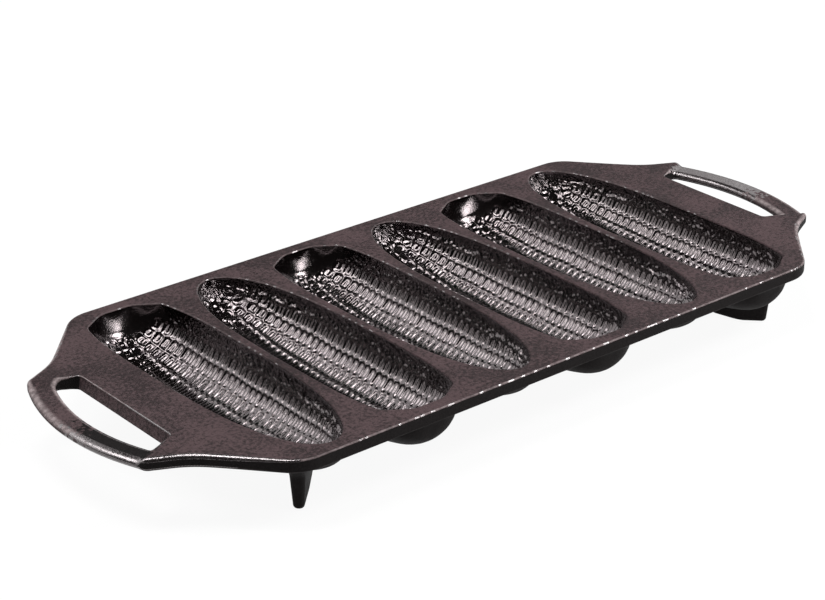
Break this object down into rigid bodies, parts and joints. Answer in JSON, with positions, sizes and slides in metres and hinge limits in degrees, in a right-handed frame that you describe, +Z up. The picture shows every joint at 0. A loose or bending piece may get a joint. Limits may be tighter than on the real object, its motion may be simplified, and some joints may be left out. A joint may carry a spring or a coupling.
{
  "type": "corn stick pan",
  "caption": "Cast iron baking pan with ear of corn shaped moulds in a flat plate, a loop handle at each end and short diagonal feet.",
  "frame": {"origin": "middle of the plane that the four feet stand on", "axes": "+X along the pan through both handles, +Y along the corn moulds, +Z up out of the moulds"},
  "size_m": [0.3636, 0.1544, 0.0285],
  "materials": {
    "plate_iron": "fine grained seasoned cast iron, matt, slightly bright on worn edges",
    "mould_iron": "seasoned cast iron, dark and glossy inside the moulds"
  },
  "bodies": {
    "root": {"deck_plate": "plate_iron", "corn_mould_1": "mould_iron", "corn_mould_2": "mould_iron", "corn_mould_3": "mould_iron", "corn_mould_4": "mould_iron", "corn_mould_5": "mould_iron", "corn_mould_6": "mould_iron", "handle_left": "plate_iron", "handle_right": "plate_iron", "foot_left_front": "plate_iron", "foot_right_front": "plate_iron", "foot_left_back": "plate_iron", "foot_right_back": "plate_iron"}
  },
  "joints": []
}
